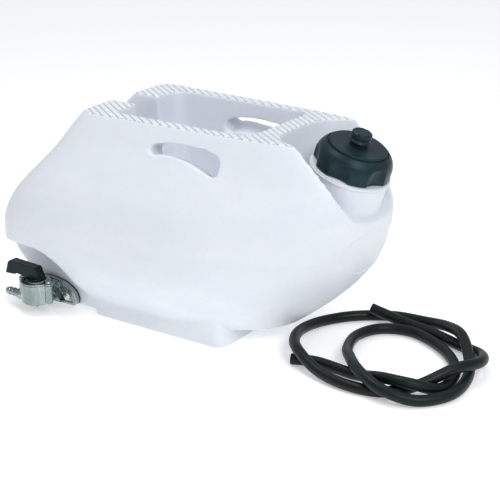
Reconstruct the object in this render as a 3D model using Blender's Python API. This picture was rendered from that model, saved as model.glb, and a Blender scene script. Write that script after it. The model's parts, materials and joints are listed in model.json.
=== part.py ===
"""Portable moulded water tank with a treaded deck, a tilted filler cap with an air vent, and a lever tap.

Frame: X runs from the tap end to the filler end, Z is up, and the origin is on the ground under the
middle of the tank.  Lengths below are millimetres; placed() turns them into metres.
"""
import math

import bmesh
import bpy
from mathutils import Matrix, Vector

MM = 0.001
GAP = 0.3               # clearance left between two pieces that touch
ROUND = 24              # sides of a turned piece
SHIFT = (71.0, 4.5, 0.0)    # puts the origin under the middle of the tank and its tap

# ---- moulded tank: places are measured from the middle of the filler's plane ---------------------
WALL = 4.0
DECK_Z = 215.0
WIDEST_X = -90.0        # where each level of the body is widest
# level: height, rear end x, front end x, half width, rear squareness, front squareness, front taper
LEVELS = (
    (17, -222, 46, 85, 5.0, 2.6, 0.00),
    (24, -230, 55, 90, 5.0, 2.5, 0.00),
    (36, -244, 70, 101, 5.0, 2.4, 0.00),
    (50, -260, 86, 110, 5.5, 2.2, 0.00),
    (65, -274, 101, 118, 6.0, 2.0, 0.00),
    (80, -282, 113, 121, 6.0, 2.0, 0.00),
    (95, -281, 123, 121, 6.0, 2.0, 0.00),
    (110, -275, 129, 119, 6.0, 2.0, 0.00),
    (125, -266, 130, 115, 6.0, 2.2, 0.01),
    (140, -253, 129, 108, 6.0, 2.5, 0.02),
    (155, -239, 125, 97, 6.5, 2.8, 0.03),
    (170, -225, 117, 88, 7.0, 3.3, 0.06),
    (185, -212, 105, 81, 8.0, 4.2, 0.09),
    (200, -199, 91, 77, 9.0, 5.7, 0.12),
    (215, -183, 77, 73, 12.0, 7.6, 0.14),
)
LEVEL_SPLITS = 3        # blended levels made from each step between two of the above
OUTLINE_POINTS = 72
FOOT_HALF_WIDTH, FOOT_TOP_Z = 86.0, 32.0
FOOT_REAR_X, FOOT_FRONT_X = -165.0, 2.0
HEEL_REAR_X, HEEL_Z = -214.0, 6.0
WELL_REAR_X, WELL_FRONT_X, WELL_HALF_WIDTH, WELL_FLOOR_Z = -151.0, 12.0, 54.0, 118.0
SLOT_HALF_WIDTH, SLOT_FLOOR_Z = 18.0, 150.0
HAND_HOLE = ((-91, 193), (-85, 198), (-60, 201), (-24, 200), (-10, 195), (-8, 186), (-12, 177),
             (-44, 187), (-72, 190), (-86, 188))
HAND_HOLE_TOP = 200.0   # towards the well a hole runs down and grows taller below this height
RAIL_CORE = ((-98, 179), (-2, 167), (-2, 240), (-98, 240))     # stays solid around a hand hole
TAP_WALL_Y = -86.0      # flat wall that the tap bolts to
TAP_ARCH = ((-300, -30), (-300, 70), (-250, 70), (-216, 70), (-199, 66), (-187, 58), (-179, 48),
            (-172, 37), (-166, 26), (-162, 14), (-160, -30))
TRIM = 0.5              # skin sliced off the deck and the foot, to leave them truly flat
OUTER_VOXEL, INNER_VOXEL = 4.0, 5.0
OUTER_FACES, INNER_FACES = 0.062, 0.06    # share of the faces kept when a surface is thinned out

# ---- filler neck and cap: heights are measured along the neck from its collar ---------------------
NECK_TILT = math.radians(17.6)
NECK_ORIGIN = (94.8, 0.0, 183.5)
COLLAR_R, COLLAR_T, SHOULDER_R, NECK_R, NECK_BORE_R, NECK_TOP = 40.5, 3.0, 38.5, 30.5, 26.0, 17.0
SCOOP_FLOOR, SCOOP_TOP = -31.0, 80.0
CAP_R, CAP_BORE_R, CAP_BOTTOM, CAP_CEILING, CAP_TOP, CAP_DISC_R = 38.5, 33.0, 1.0, 20.5, 26.0, 29.5
SCALLOPS, SCALLOP_FIRST = 6, math.radians(-80.0)
SCALLOP_R, SCALLOP_OFFSET, SCALLOP_TOP, SCALLOP_ARCH = 20.0, 55.0, 18.5, 9.0
VENT_STEM_R, VENT_BORE_R, VENT_ROD_R, VENT_TOP = 6.0, 4.2, 2.3, 36.0
KNOB_R, KNOB_BOTTOM, KNOB_TOP = 10.0, 30.6, 40.0

# ---- tap: heights are measured from the ground ------------------------------------------------------
TAP_X, TAP_Y = -217.0, -114.0
CUP_R, CUP_BORE_R, CUP_BOTTOM, CUP_FLOOR, CUP_TOP = 16.0, 12.3, 12.0, 20.0, 34.0
BOSS_R, BOSS_BOTTOM, DRAIN_R, DRAIN_X = 6.0, 9.5, 2.4, -3.0
EAR_OFFSET, EAR_R = 17.5, 4.5
FLANGE_T, FLANGE_HALF_LENGTH, FLANGE_LOW, FLANGE_HIGH, FLANGE_WAIST = 5.0, 37.0, 7.0, 33.0, 13.0
GASKET_T = 1.2
BOLT_OFFSET, BOLT_Z, BOLT_R, BOLT_HEAD_R = 26.0, 17.0, 2.2, 4.2
INSERT_R, INSERT_LENGTH = 4.2, 9.0
PORT_Z, PORT_R = 21.0, 5.0
BARB_Z, BARB_R, BARB_BORE_R = 15.5, 4.6, 2.4
PLATE_T = 1.6
LEVER_HUB_R, LEVER_HALF_WIDTH = 10.0, 5.2

# ---- loose hose: its middle line on the ground, laid by hand in two open loops ----------------------
HOSE_D = 11.0
HOSE_ROUTE = ((90, 57.5, 17), (126.5, 64, 7.2), (158.5, 59, 6.2), (195.5, 46.5, 6.2), (227.5, 31, 9.7),
              (242, -2.5, 18), (230.5, -33.5, 20), (209, -62.5, 9.2), (188, -86.5, 6.2), (154, -94.5, 6.2),
              (116.5, -88.5, 8.7), (83.5, -74, 18), (62.5, -45.5, 15.4), (51, -9.5, 9.7), (54.5, 25, 6.2),
              (75.5, 54, 6.2), (107.5, 74.5, 6.2), (142, 79, 6.7), (174.5, 64.5, 14.4), (201.5, 41.5, 19.5),
              (224.5, 11.5, 11.2), (238.5, -21.5, 6.7), (240, -59, 6.2), (219.5, -87.5, 6.2),
              (189, -98, 13.8), (159.5, -87, 20), (132.5, -58.5, 17), (113.5, -29.5, 10.7), (102, 8, 7.2),
              (112, 38, 6.2), (141.5, 49, 6.2), (177, 35.5, 6.2), (205.5, 12.5, 6.2), (224, -18, 6.2),
              (227.5, -56, 7.7), (208, -79.5, 17.4), (178.5, -79, 15.3), (145, -70, 6.2),
              (102.5, -66.5, 6.2), (76.5, -74.5, 6.2))

COLOURS = {
    "tank_plastic": ((0.86, 0.88, 0.92), 0.38, 0.0),
    "cap_plastic": ((0.035, 0.05, 0.055), 0.42, 0.0),
    "lever_plastic": ((0.012, 0.016, 0.016), 0.45, 0.0),
    "tap_metal": ((0.52, 0.54, 0.54), 0.38, 1.0),
    "steel": ((0.62, 0.62, 0.60), 0.3, 1.0),
    "brass": ((0.72, 0.53, 0.25), 0.32, 1.0),
    "seal_rubber": ((0.02, 0.02, 0.02), 0.7, 0.0),
    "strainer_plastic": ((0.80, 0.80, 0.74), 0.45, 0.0),
    "hose_rubber": ((0.018, 0.025, 0.025), 0.55, 0.0),
}


# ---- general tools -----------------------------------------------------------------------------------
def clear_scene():
    for item in list(bpy.data.objects):
        bpy.data.objects.remove(item, do_unlink=True)


def finish_material(name):
    """The Principled material called name, made once."""
    found = bpy.data.materials.get(name)
    if found:
        return found
    colour, roughness, metallic = COLOURS[name]
    made = bpy.data.materials.new(name)
    made.use_nodes = True
    shader = made.node_tree.nodes["Principled BSDF"]
    shader.inputs["Base Color"].default_value = (*colour, 1.0)
    shader.inputs["Roughness"].default_value = roughness
    shader.inputs["Metallic"].default_value = metallic
    return made


def placed(point, matrix=None):
    """A millimetre point in its own frame, as metres in the world."""
    local = Vector(point) if matrix is None else matrix @ Vector(point)
    return (local + Vector(SHIFT)) * MM


def solid(name, bm):
    """An object from a bmesh whose faces are turned outwards."""
    bmesh.ops.recalc_face_normals(bm, faces=bm.faces)
    mesh = bpy.data.meshes.new(name)
    bm.to_mesh(mesh)
    bm.free()
    made = bpy.data.objects.new(name, mesh)
    bpy.context.scene.collection.objects.link(made)
    return made


def stacked(name, rings, matrix=None):
    """A closed solid through rings of equal length, its first and last ring filled."""
    bm = bmesh.new()
    rows = [[bm.verts.new(placed(point, matrix)) for point in ring] for ring in rings]
    for low, high in zip(rows, rows[1:]):
        for i in range(len(low)):
            j = (i + 1) % len(low)
            bm.faces.new((low[i], low[j], high[j], high[i]))
    bm.faces.new(rows[0])
    bm.faces.new(rows[-1])
    return solid(name, bm)


def prism(name, outline, low, high, matrix=None):
    """An outline in local XY, extruded from low to high along local Z."""
    return stacked(name, [[(x, y, z) for x, y in outline] for z in (low, high)], matrix)


def turned(name, profile, matrix=None, sides=ROUND):
    """A profile of (radius, height) turned about local Z; it is a loop, or runs from axis to axis."""
    bm = bmesh.new()
    rows = []
    for radius, height in profile:
        count = 1 if radius == 0 else sides
        angles = [2 * math.pi * i / sides for i in range(count)]
        rows.append([bm.verts.new(placed((radius * math.cos(a), radius * math.sin(a), height), matrix))
                     for a in angles])
    pairs = list(zip(rows, rows[1:]))
    if profile[0][0] != 0:
        pairs.append((rows[-1], rows[0]))
    for first, second in pairs:
        for i in range(sides):
            j = (i + 1) % sides
            corners = [first[i % len(first)], first[j % len(first)],
                       second[j % len(second)], second[i % len(second)]]
            bm.faces.new(list(dict.fromkeys(corners)))
    return solid(name, bm)


def cylinder(name, radius, low, high, matrix=None, sides=ROUND):
    return turned(name, ((0, low), (radius, low), (radius, high), (0, high)), matrix, sides)


def box(name, low, high):
    outline = ((low[0], low[1]), (high[0], low[1]), (high[0], high[1]), (low[0], high[1]))
    return prism(name, outline, low[2], high[2])


def baked(thing):
    """Replace an object's mesh with its evaluated one and drop its modifiers."""
    bpy.context.view_layer.update()
    seen = thing.evaluated_get(bpy.context.evaluated_depsgraph_get())
    mesh = bpy.data.meshes.new_from_object(seen)
    thing.modifiers.clear()
    thing.data = mesh
    return thing


def combined(base, tool, operation):
    """Boolean the tool into the base; the tool is used up."""
    step = base.modifiers.new(operation.lower(), "BOOLEAN")
    step.operation = operation
    step.solver = "EXACT"
    step.object = tool
    baked(base)
    bpy.data.objects.remove(tool, do_unlink=True)
    return base


def cut(base, *tools):
    for tool in tools:
        combined(base, tool, "DIFFERENCE")
    return base


def joined(base, *tools):
    for tool in tools:
        combined(base, tool, "UNION")
    return base


def finished(thing, material, crease=35.0):
    """Give a piece its material and smooth its round faces."""
    thing.data.materials.clear()
    thing.data.materials.append(finish_material(material))
    thing.data.shade_smooth()
    thing.data.set_sharp_from_angle(angle=math.radians(crease))
    return thing


def blend(before, start, end, after, share):
    """A smooth value between start and end, steered by their neighbours."""
    a = 2 * start
    b = end - before
    c = 2 * before - 5 * start + 4 * end - after
    d = after - before + 3 * (start - end)
    return 0.5 * (a + b * share + c * share ** 2 + d * share ** 3)


def smooth_rows(rows, splits, closed=False):
    """Rows of numbers with splits blended rows to each step."""
    count = len(rows)
    made = []
    for i in range(count if closed else count - 1):
        around = [rows[(i + k) % count] if closed else rows[min(max(i + k, 0), count - 1)]
                  for k in (-1, 0, 1, 2)]
        for step in range(splits):
            made.append(tuple(blend(*values, step / splits) for values in zip(*around)))
    if not closed:
        made.append(tuple(float(value) for value in rows[-1]))
    return made


def rounded_box(low, high, radius, corner_points=6):
    """A rectangle with round corners in XY, anticlockwise."""
    outline = []
    for corner, (x, y) in enumerate(((high[0], high[1]), (low[0], high[1]), (low[0], low[1]), (high[0], low[1]))):
        centre_x = x - math.copysign(radius, x - (low[0] + high[0]) / 2)
        centre_y = y - math.copysign(radius, y - (low[1] + high[1]) / 2)
        for step in range(corner_points):
            angle = math.pi / 2 * (corner + step / (corner_points - 1))
            outline.append((centre_x + radius * math.cos(angle), centre_y + radius * math.sin(angle)))
    return outline


def squared_round(half_x, half_y, squareness, points):
    """A rounded outline between an ellipse and a rectangle."""
    outline = []
    for i in range(points):
        angle = 2 * math.pi * i / points
        c, s = math.cos(angle), math.sin(angle)
        outline.append((math.copysign(half_x * abs(c) ** (2 / squareness), c),
                        math.copysign(half_y * abs(s) ** (2 / squareness), s)))
    return outline


def grown(outline, distance):
    """A clockwise outline moved outwards by distance."""
    moved = []
    for i, (x, y) in enumerate(outline):
        before, after = outline[i - 1], outline[(i + 1) % len(outline)]
        along = Vector((after[0] - before[0], after[1] - before[1])).normalized()
        moved.append((x - along.y * distance, y + along.x * distance))
    return moved


NECK = Matrix.Translation(NECK_ORIGIN) @ Matrix.Rotation(NECK_TILT, 4, "Y")
TAP = Matrix.Translation((TAP_X, TAP_Y, 0))
OUT_OF_WALL = Matrix.Rotation(math.pi / 2, 4, "X")     # local Z runs along -Y, local Y runs up


# ---- moulded tank ----------------------------------------------------------------------------------------
def body_ring(level, inset):
    """One level of the body, pulled in by inset."""
    height, rear, front, half_width, rear_square, front_square, taper = level
    bottom = LEVELS[0][0]
    share = (height - bottom) / (DECK_Z - bottom)
    height = bottom + inset + share * (DECK_Z + TRIM - bottom - 2 * inset)
    rear, front, half_width = rear + inset, front - inset, half_width - inset
    ring = []
    for i in range(OUTLINE_POINTS):
        angle = 2 * math.pi * i / OUTLINE_POINTS
        c, s = math.cos(angle), math.sin(angle)
        length, square = (front - WIDEST_X, front_square) if c > 0 else (WIDEST_X - rear, rear_square)
        x = WIDEST_X + math.copysign(length * abs(c) ** (2 / square), c)
        y = math.copysign(half_width * abs(s) ** (2 / square), s)
        ring.append((x, y * (1 - taper * (x - rear) / (front - rear)), height))
    return ring


def base_block(inset):
    """The foot and, behind it, the slightly raised heel."""
    wide = FOOT_HALF_WIDTH - inset
    top = FOOT_TOP_Z + inset
    foot = prism("foot", rounded_box((FOOT_REAR_X + inset, -wide), (FOOT_FRONT_X - inset, wide), 12),
                 inset - TRIM, top)
    heel = prism("heel", rounded_box((HEEL_REAR_X + inset, -wide), (FOOT_REAR_X + 40, wide), 8),
                 HEEL_Z + inset, top)
    return joined(foot, heel)


def storage_well(grow):
    """The open well, narrowing slightly towards its floor, and the slot that leads out of its rear."""
    rings = []
    for height, draft in ((WELL_FLOOR_Z - grow, -3.0), (DECK_Z + 45, 3.0)):
        edge = grow + draft
        outline = rounded_box((WELL_REAR_X - edge, -WELL_HALF_WIDTH - edge),
                              (WELL_FRONT_X + edge, WELL_HALF_WIDTH + edge), 14)
        rings.append([(x, y, height) for x, y in outline])
    well = stacked("well", rings)
    half = SLOT_HALF_WIDTH + grow
    slot = box("slot", (WELL_REAR_X - 90, -half, SLOT_FLOOR_Z - grow), (WELL_REAR_X + 20, half, DECK_Z + 40))
    return joined(well, slot)


def filler_scoop(grow):
    """The hollow that the filler neck stands in, wider towards the deck."""
    rings = []
    for height, half_x, half_y in ((SCOOP_FLOOR - grow, 46, 42), (SCOOP_TOP, 104, 75)):
        rings.append([(x, y, height) for x, y in squared_round(half_x + grow, half_y + grow, 3.5, 48)])
    return stacked("scoop", rings, NECK)


def tap_recess(grow):
    """The recess under the rear corner whose back wall carries the tap; its roof slopes down inwards."""
    wall = -TAP_WALL_Y - grow
    rings = []
    for depth, outward, rise in ((wall, -2, -8), (wall + 30, 2, 3), (180, 2, 3)):
        rings.append([(x + outward, z + rise, depth) for x, z in grown(TAP_ARCH, grow)])
    return stacked("recess", rings, OUT_OF_WALL)


def hand_holes(outline):
    """One hole through each side rail, lower and taller at the well than outside."""
    inner = [(x, HAND_HOLE_TOP - 5 + 1.6 * (z - HAND_HOLE_TOP)) for x, z in outline]
    holes = []
    for side in (-1, 1):
        rings = [[(x, z, side * depth) for x, z in row]
                 for row, depth in ((inner, 44), (inner, 53), (outline, 81), (outline, 140))]
        holes.append(stacked("hand_hole", rings, OUT_OF_WALL))
    return holes


def rail_cores():
    """What stays solid of each side rail, around its hand hole."""
    return [prism("rail_core", RAIL_CORE, low, high, OUT_OF_WALL) for low, high in ((-140, -46), (46, 140))]


def body_form(inset):
    """The body before its skin is smoothed: the outside, or the inside when inset by the wall."""
    form = stacked("body", [body_ring(level, inset) for level in smooth_rows(LEVELS, LEVEL_SPLITS)])
    joined(form, base_block(inset))
    cut(form, storage_well(inset), filler_scoop(inset), tap_recess(inset))
    joined(form, cylinder("shoulder", SHOULDER_R - inset, -60, -COLLAR_T - 2 * inset, NECK, 40))
    return form


def smoothed(form, voxel, passes, share):
    """Turn hard edges into moulded fillets, then thin the mesh out."""
    skin = form.modifiers.new("skin", "REMESH")
    skin.mode = "VOXEL"
    skin.voxel_size = voxel * MM
    soften = form.modifiers.new("soften", "SMOOTH")
    soften.factor = 0.5
    soften.iterations = passes
    thin = form.modifiers.new("thin", "DECIMATE")
    thin.ratio = share
    return baked(form)


def tank_shell():
    outside = body_form(0)
    cut(outside, *hand_holes(smooth_rows(HAND_HOLE, 3, closed=True)))
    smoothed(outside, OUTER_VOXEL, 4, OUTER_FACES)
    cut(outside, box("under_foot", (-400, -200, -20), (300, 200, 0)),
        box("over_deck", (-400, -200, DECK_Z), (300, 200, DECK_Z + 20)))
    inside = body_form(WALL)
    cut(inside, *rail_cores())
    tap_pad = box("tap_pad", (TAP_X - 42, TAP_WALL_Y, 0), (TAP_X + 42, TAP_WALL_Y + INSERT_LENGTH + 4, 42))
    cut(inside, tap_pad)
    smoothed(inside, INNER_VOXEL, 4, INNER_FACES)
    shell = cut(outside, inside)
    shell.name = "tank_shell"
    crest = NECK_R + 1.4
    neck = turned("neck", ((NECK_BORE_R - 1, -12), (SHOULDER_R - 2, -12), (SHOULDER_R - 1, -COLLAR_T - 4),
                           (COLLAR_R, -COLLAR_T), (COLLAR_R, 0), (NECK_R, 0),
                           (NECK_R, 4), (crest, 5), (NECK_R, 6), (NECK_R, 10), (crest, 11), (NECK_R, 12),
                           (NECK_R, NECK_TOP), (NECK_BORE_R - 1, NECK_TOP)), NECK, 40)
    joined(shell, neck)
    wall = -TAP_WALL_Y
    through = OUT_OF_WALL
    seat = box("seat", (TAP_X - 40, -130, 5), (TAP_X + 40, TAP_WALL_Y - GAP, 36))
    port = cylinder("port", PORT_R, wall - 40, wall + 10, Matrix.Translation((TAP_X, 0, PORT_Z)) @ through)
    cut(shell, cylinder("bore", NECK_BORE_R, -40, 40, NECK, 40), seat, port)
    for side in (-1, 1):
        hole = Matrix.Translation((TAP_X + side * BOLT_OFFSET, 0, BOLT_Z)) @ through
        cut(shell, cylinder("insert_hole", INSERT_R + GAP, wall - INSERT_LENGTH - GAP, wall + 10, hole))
    return finished(shell, "tank_plastic", 50)


# ---- filler cap --------------------------------------------------------------------------------------------
def scallop_arch(steps):
    """The top of a scallop's cutter, drawing in so that the scallop ends in an arch on the skirt."""
    clear = SCALLOP_OFFSET - CAP_R - 0.1
    return [(clear + (SCALLOP_R - clear) * math.cos(a), SCALLOP_TOP + SCALLOP_ARCH * (math.sin(a) - 1))
            for a in (math.pi / 2 * step / steps for step in range(steps + 1))]


def cap_shell():
    cap = turned("cap_shell", ((CAP_BORE_R, CAP_BOTTOM), (CAP_R, CAP_BOTTOM), (CAP_R, 12), (CAP_R - 1, 16),
                               (CAP_R - 3.6, 20), (CAP_DISC_R + 2, 23.6), (CAP_DISC_R + 0.4, 24.4),
                               (CAP_DISC_R, CAP_TOP), (VENT_STEM_R + GAP, CAP_TOP),
                               (VENT_STEM_R + GAP, CAP_CEILING), (CAP_BORE_R, CAP_CEILING)), NECK, 48)
    for i in range(SCALLOPS):
        angle = SCALLOP_FIRST + 2 * math.pi * i / SCALLOPS
        middle = NECK @ Matrix.Rotation(angle, 4, "Z") @ Matrix.Translation((SCALLOP_OFFSET, 0, 0))
        cut(cap, turned("scallop", [(0, -5), (SCALLOP_R, -5)] + scallop_arch(5) + [(0, SCALLOP_TOP)], middle))
    return finished(cap, "cap_plastic")


def cap_gasket():
    return finished(turned("cap_gasket", ((25.5, NECK_TOP + GAP), (32, NECK_TOP + GAP),
                                          (32, CAP_CEILING - GAP), (25.5, CAP_CEILING - GAP)), NECK, 40),
                    "seal_rubber")


def vent_spigot():
    """The stem pressed through the middle of the cap, with a seat at its foot."""
    return finished(turned("vent_spigot", ((1.6, 14.5), (VENT_STEM_R - 1, 14.5), (VENT_STEM_R, 15.5),
                                           (VENT_STEM_R, CAP_TOP + GAP), (9, CAP_TOP + GAP), (9, 30),
                                           (VENT_STEM_R, 30), (VENT_STEM_R, VENT_TOP), (VENT_BORE_R, VENT_TOP),
                                           (VENT_BORE_R, 18), (1.6, 16.5)), NECK), "cap_plastic")


def vent_needle():
    """The rod that closes the vent, with a groove for its ring and a head held by the knob."""
    return finished(turned("vent_needle", ((0, 17.2), (1.2, 17.8), (VENT_ROD_R, 18.8), (VENT_ROD_R, 36.6),
                                           (5, 36.6), (5, 38), (0, 38)), NECK, 16), "lever_plastic")


def vent_o_ring():
    profile = [(3.25 + 0.65 * math.cos(a), 24 + 0.65 * math.sin(a))
               for a in (math.pi / 4 * i for i in range(8))]
    return finished(turned("vent_o_ring", profile, NECK, 20), "seal_rubber")


def vent_knob():
    """The knob that draws the needle up; its pocket holds the needle's head."""
    bore = VENT_STEM_R + GAP
    return finished(turned("vent_knob", ((0, 38.3), (5.3, 38.3), (5.3, 36.3), (bore, 36.3), (bore, KNOB_BOTTOM),
                                         (KNOB_R - 1, KNOB_BOTTOM), (KNOB_R - 1, 34.6), (KNOB_R, 35.4),
                                         (KNOB_R, KNOB_TOP - 1), (KNOB_R - 1, KNOB_TOP), (0, KNOB_TOP)), NECK),
                    "cap_plastic")


# ---- tap -----------------------------------------------------------------------------------------------------
def at_tap(x, z):
    """A frame on the tap wall whose Z runs out of the wall, over a point x beside the tap's axis."""
    return Matrix.Translation((TAP_X + x, 0, z)) @ OUT_OF_WALL


def flange_outline():
    """A flat-bottomed oval, anticlockwise, about the tap's axis."""
    rise = FLANGE_HIGH - FLANGE_WAIST
    arc = [(FLANGE_HALF_LENGTH * math.cos(a), FLANGE_WAIST + rise * math.sin(a))
           for a in (math.pi * i / 20 for i in range(21))]
    edge = FLANGE_HALF_LENGTH
    return arc + [(-edge + 0.6, FLANGE_LOW + 3), (-edge + 4, FLANGE_LOW), (edge - 4, FLANGE_LOW),
                  (edge - 0.6, FLANGE_LOW + 3)]


GASKET_BACK = -TAP_WALL_Y + 2 * GAP
FLANGE_BACK = GASKET_BACK + GASKET_T + GAP
FLANGE_FRONT = FLANGE_BACK + FLANGE_T


def tap_body():
    """Cup, neck and flange in one casting, with its passages and screw holes."""
    body = turned("tap_body", ((0, CUP_BOTTOM), (CUP_R - 1.5, CUP_BOTTOM), (CUP_R, CUP_BOTTOM + 1.5),
                               (CUP_R, CUP_TOP), (CUP_BORE_R, CUP_TOP), (CUP_BORE_R, CUP_FLOOR),
                               (0, CUP_FLOOR)), TAP, 32)
    hollow = cylinder("hollow", CUP_BORE_R, CUP_FLOOR, CUP_TOP + 5, TAP, 32)
    for side in (-1, 1):
        post = Matrix.Translation((TAP_X + side * EAR_OFFSET, TAP_Y, 0))
        joined(body, cylinder("post", EAR_R, CUP_BOTTOM + 2, CUP_TOP, post, 16))
    joined(body, prism("neck", rounded_box((-12, 11), (12, 31), 3, 4), FLANGE_FRONT - 1, -TAP_Y, at_tap(0, 0)))
    joined(body, prism("flange", flange_outline(), FLANGE_BACK, FLANGE_FRONT, at_tap(0, 0)))
    outlet = Matrix.Translation((TAP_X, TAP_Y, BARB_Z)) @ Matrix.Rotation(-math.pi / 2, 4, "Y")
    joined(body, cylinder("outlet_boss", BARB_R + 1.6, 10, 22.4, outlet))
    drain = Matrix.Translation((TAP_X + DRAIN_X, TAP_Y, 0))
    joined(body, cylinder("drain_boss", BOSS_R, BOSS_BOTTOM, CUP_BOTTOM + 2, drain))
    cut(body, hollow,
        cylinder("inlet", PORT_R - 1, FLANGE_BACK - 5, -TAP_Y, at_tap(0, PORT_Z)),
        turned("outlet", ((0, 5), (BARB_BORE_R, 5), (BARB_BORE_R, 12.5), (4.3, 12.5), (4.3, 30), (0, 30)),
               outlet, 20),
        cylinder("outlet_port", BARB_BORE_R - 0.1, BARB_Z + 0.7, CUP_FLOOR + 3,
                 Matrix.Translation((TAP_X - 6.5, TAP_Y, 0)), 14),
        cylinder("drain_hole", DRAIN_R + 0.1, BOSS_BOTTOM - 3, BARB_Z - 0.9, drain, 18))
    for side in (-1, 1):
        cut(body, cylinder("bolt_hole", BOLT_R + 0.5, FLANGE_BACK - 5, FLANGE_FRONT + 1,
                           at_tap(side * BOLT_OFFSET, BOLT_Z), 16))
        post = Matrix.Translation((TAP_X + side * EAR_OFFSET, TAP_Y, 0))
        cut(body, cylinder("screw_hole", 1.7, 25, CUP_TOP + 2, post, 12))
    return finished(body, "tap_metal")


def flange_gasket():
    gasket = prism("flange_gasket", flange_outline(), GASKET_BACK, GASKET_BACK + GASKET_T, at_tap(0, 0))
    cut(gasket, cylinder("inlet", PORT_R - 0.5, 50, 120, at_tap(0, PORT_Z)))
    for side in (-1, 1):
        cut(gasket, cylinder("bolt_hole", BOLT_R + 0.7, 50, 120, at_tap(side * BOLT_OFFSET, BOLT_Z), 16))
    return finished(gasket, "seal_rubber")


def flange_fixings(side, word):
    """A threaded insert in the tank wall, a washer and a socket-head screw."""
    frame = at_tap(side * BOLT_OFFSET, BOLT_Z)
    back = -TAP_WALL_Y
    insert = turned("threaded_insert_" + word, ((2.5, back - INSERT_LENGTH), (INSERT_R, back - INSERT_LENGTH),
                                                (INSERT_R, back), (2.5, back)), frame, 16)
    washer = turned("flange_washer_" + word, ((BOLT_R + GAP, FLANGE_FRONT + GAP), (5, FLANGE_FRONT + GAP),
                                              (5, FLANGE_FRONT + 1.3), (BOLT_R + GAP, FLANGE_FRONT + 1.3)),
                    frame, 16)
    under = FLANGE_FRONT + 1.3 + GAP
    screw = turned("flange_screw_" + word, ((0, back - INSERT_LENGTH + 1), (BOLT_R, back - INSERT_LENGTH + 1),
                                            (BOLT_R, under), (BOLT_HEAD_R, under), (BOLT_HEAD_R, under + 3.2),
                                            (2.0, under + 3.2), (2.0, under + 1.4), (0, under + 1.4)), frame, 16)
    finished(insert, "brass")
    finished(washer, "steel")
    finished(screw, "steel")


def hose_barb():
    frame = Matrix.Translation((TAP_X, TAP_Y, BARB_Z)) @ Matrix.Rotation(-math.pi / 2, 4, "Y")
    profile = [(BARB_BORE_R, 14.5), (4, 14.5), (4, 22.7), (5.4, 22.7), (5.4, 24.4), (3.7, 24.4)]
    for start in (25.4, 30.4, 35.4):
        profile += [(3.7, start), (BARB_R, start + 0.8), (3.7, start + 4.6)]
    profile += [(3.4, 41), (BARB_BORE_R, 41)]
    return finished(turned("hose_barb", profile, frame, 20), "tap_metal", 25)


def rotor_seal():
    seal = cylinder("rotor_seal", CUP_BORE_R - GAP, CUP_FLOOR + GAP, CUP_FLOOR + 1.9, TAP)
    cut(seal, cylinder("port", 2.6, 10, 40, Matrix.Translation((TAP_X - 6.5, TAP_Y, 0)), 16))
    return finished(seal, "seal_rubber")


def valve_rotor():
    """The drum that the lever turns: one port from its underside to its side."""
    low = CUP_FLOOR + 2.2
    drum = turned("valve_rotor", ((0, low), (9.6, low), (9.6, 27.6), (CUP_BORE_R - GAP, 27.6),
                                  (CUP_BORE_R - GAP, 29.6), (8.6, 29.6), (8.6, 36), (1.8, 36), (1.8, 29),
                                  (0, 29)), TAP)
    side = Matrix.Translation((TAP_X, TAP_Y, 25)) @ Matrix.Rotation(-math.pi / 2, 4, "Y")
    cut(drum, cylinder("down", 2.3, 15, 25, Matrix.Translation((TAP_X - 6.5, TAP_Y, 0)), 16),
        cylinder("across", 2.0, 5, 20, side, 16))
    return finished(drum, "strainer_plastic")


def spring_washer():
    return finished(turned("spring_washer", ((9.4, 29.9), (12, 29.9), (12, 31.2), (9.4, 31.2)), TAP), "steel")


def stem_o_ring():
    profile = [(10.1 + 1.1 * math.cos(a), 32.7 + 1.1 * math.sin(a))
               for a in (math.pi / 4 * i for i in range(8))]
    return finished(turned("stem_o_ring", profile, TAP), "seal_rubber")


def retaining_plate():
    low, high = CUP_TOP + GAP, CUP_TOP + GAP + PLATE_T
    plate = turned("retaining_plate", ((9, low), (CUP_R, low), (CUP_R, high), (9, high)), TAP, 32)
    for side in (-1, 1):
        ear = Matrix.Translation((TAP_X + side * EAR_OFFSET, TAP_Y, 0))
        joined(plate, cylinder("ear", EAR_R, low, high, ear, 16))
        cut(plate, cylinder("ear_hole", 1.7, low - 5, high + 5, ear, 12))
    cut(plate, cylinder("middle", 9, low - 5, high + 5, TAP, 32))
    return finished(plate, "tap_metal")


def retaining_screw(side, word):
    under = CUP_TOP + 2 * GAP + PLATE_T
    frame = Matrix.Translation((TAP_X + side * EAR_OFFSET, TAP_Y, 0))
    screw = turned("retaining_screw_" + word, ((0, 26), (1.4, 26), (1.4, under), (2.9, under),
                                               (2.9, under + 1.2), (1.8, under + 2), (0, under + 2)), frame, 16)
    return finished(screw, "steel")


def tap_lever():
    """A deep black lever standing on the rotor's stem, over the outlet when the tap is open."""
    low = CUP_TOP + 2 * GAP + PLATE_T + 0.2
    hub = cylinder("tap_lever", LEVER_HUB_R, low, low + 3, TAP, 24)
    side_view = ((-37, low + 1.4), (-35, 49.5), (-30.5, 53), (8, 51), (9.6, 46), (9.8, low + 0.8),
                 (-10.5, low + 0.8), (-12.5, low + 2.6), (-22.5, low + 2.6), (-25, low + 1.0), (-29, low + 1.0))
    arm = prism("arm", side_view, -LEVER_HALF_WIDTH, LEVER_HALF_WIDTH, Matrix.Translation((TAP_X, TAP_Y, 0)) @ OUT_OF_WALL)
    joined(hub, arm)
    edge = hub.modifiers.new("edge", "BEVEL")
    edge.width = 0.8 * MM
    edge.segments = 1
    edge.limit_method = "ANGLE"
    edge.angle_limit = math.radians(50)
    baked(hub)
    cut(hub, turned("screw_well", ((0, low - 3), (1.8, low - 3), (1.8, 46), (3.6, 46), (3.6, 60), (0, 60)),
                    TAP, 16))
    return finished(hub, "lever_plastic")


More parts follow.
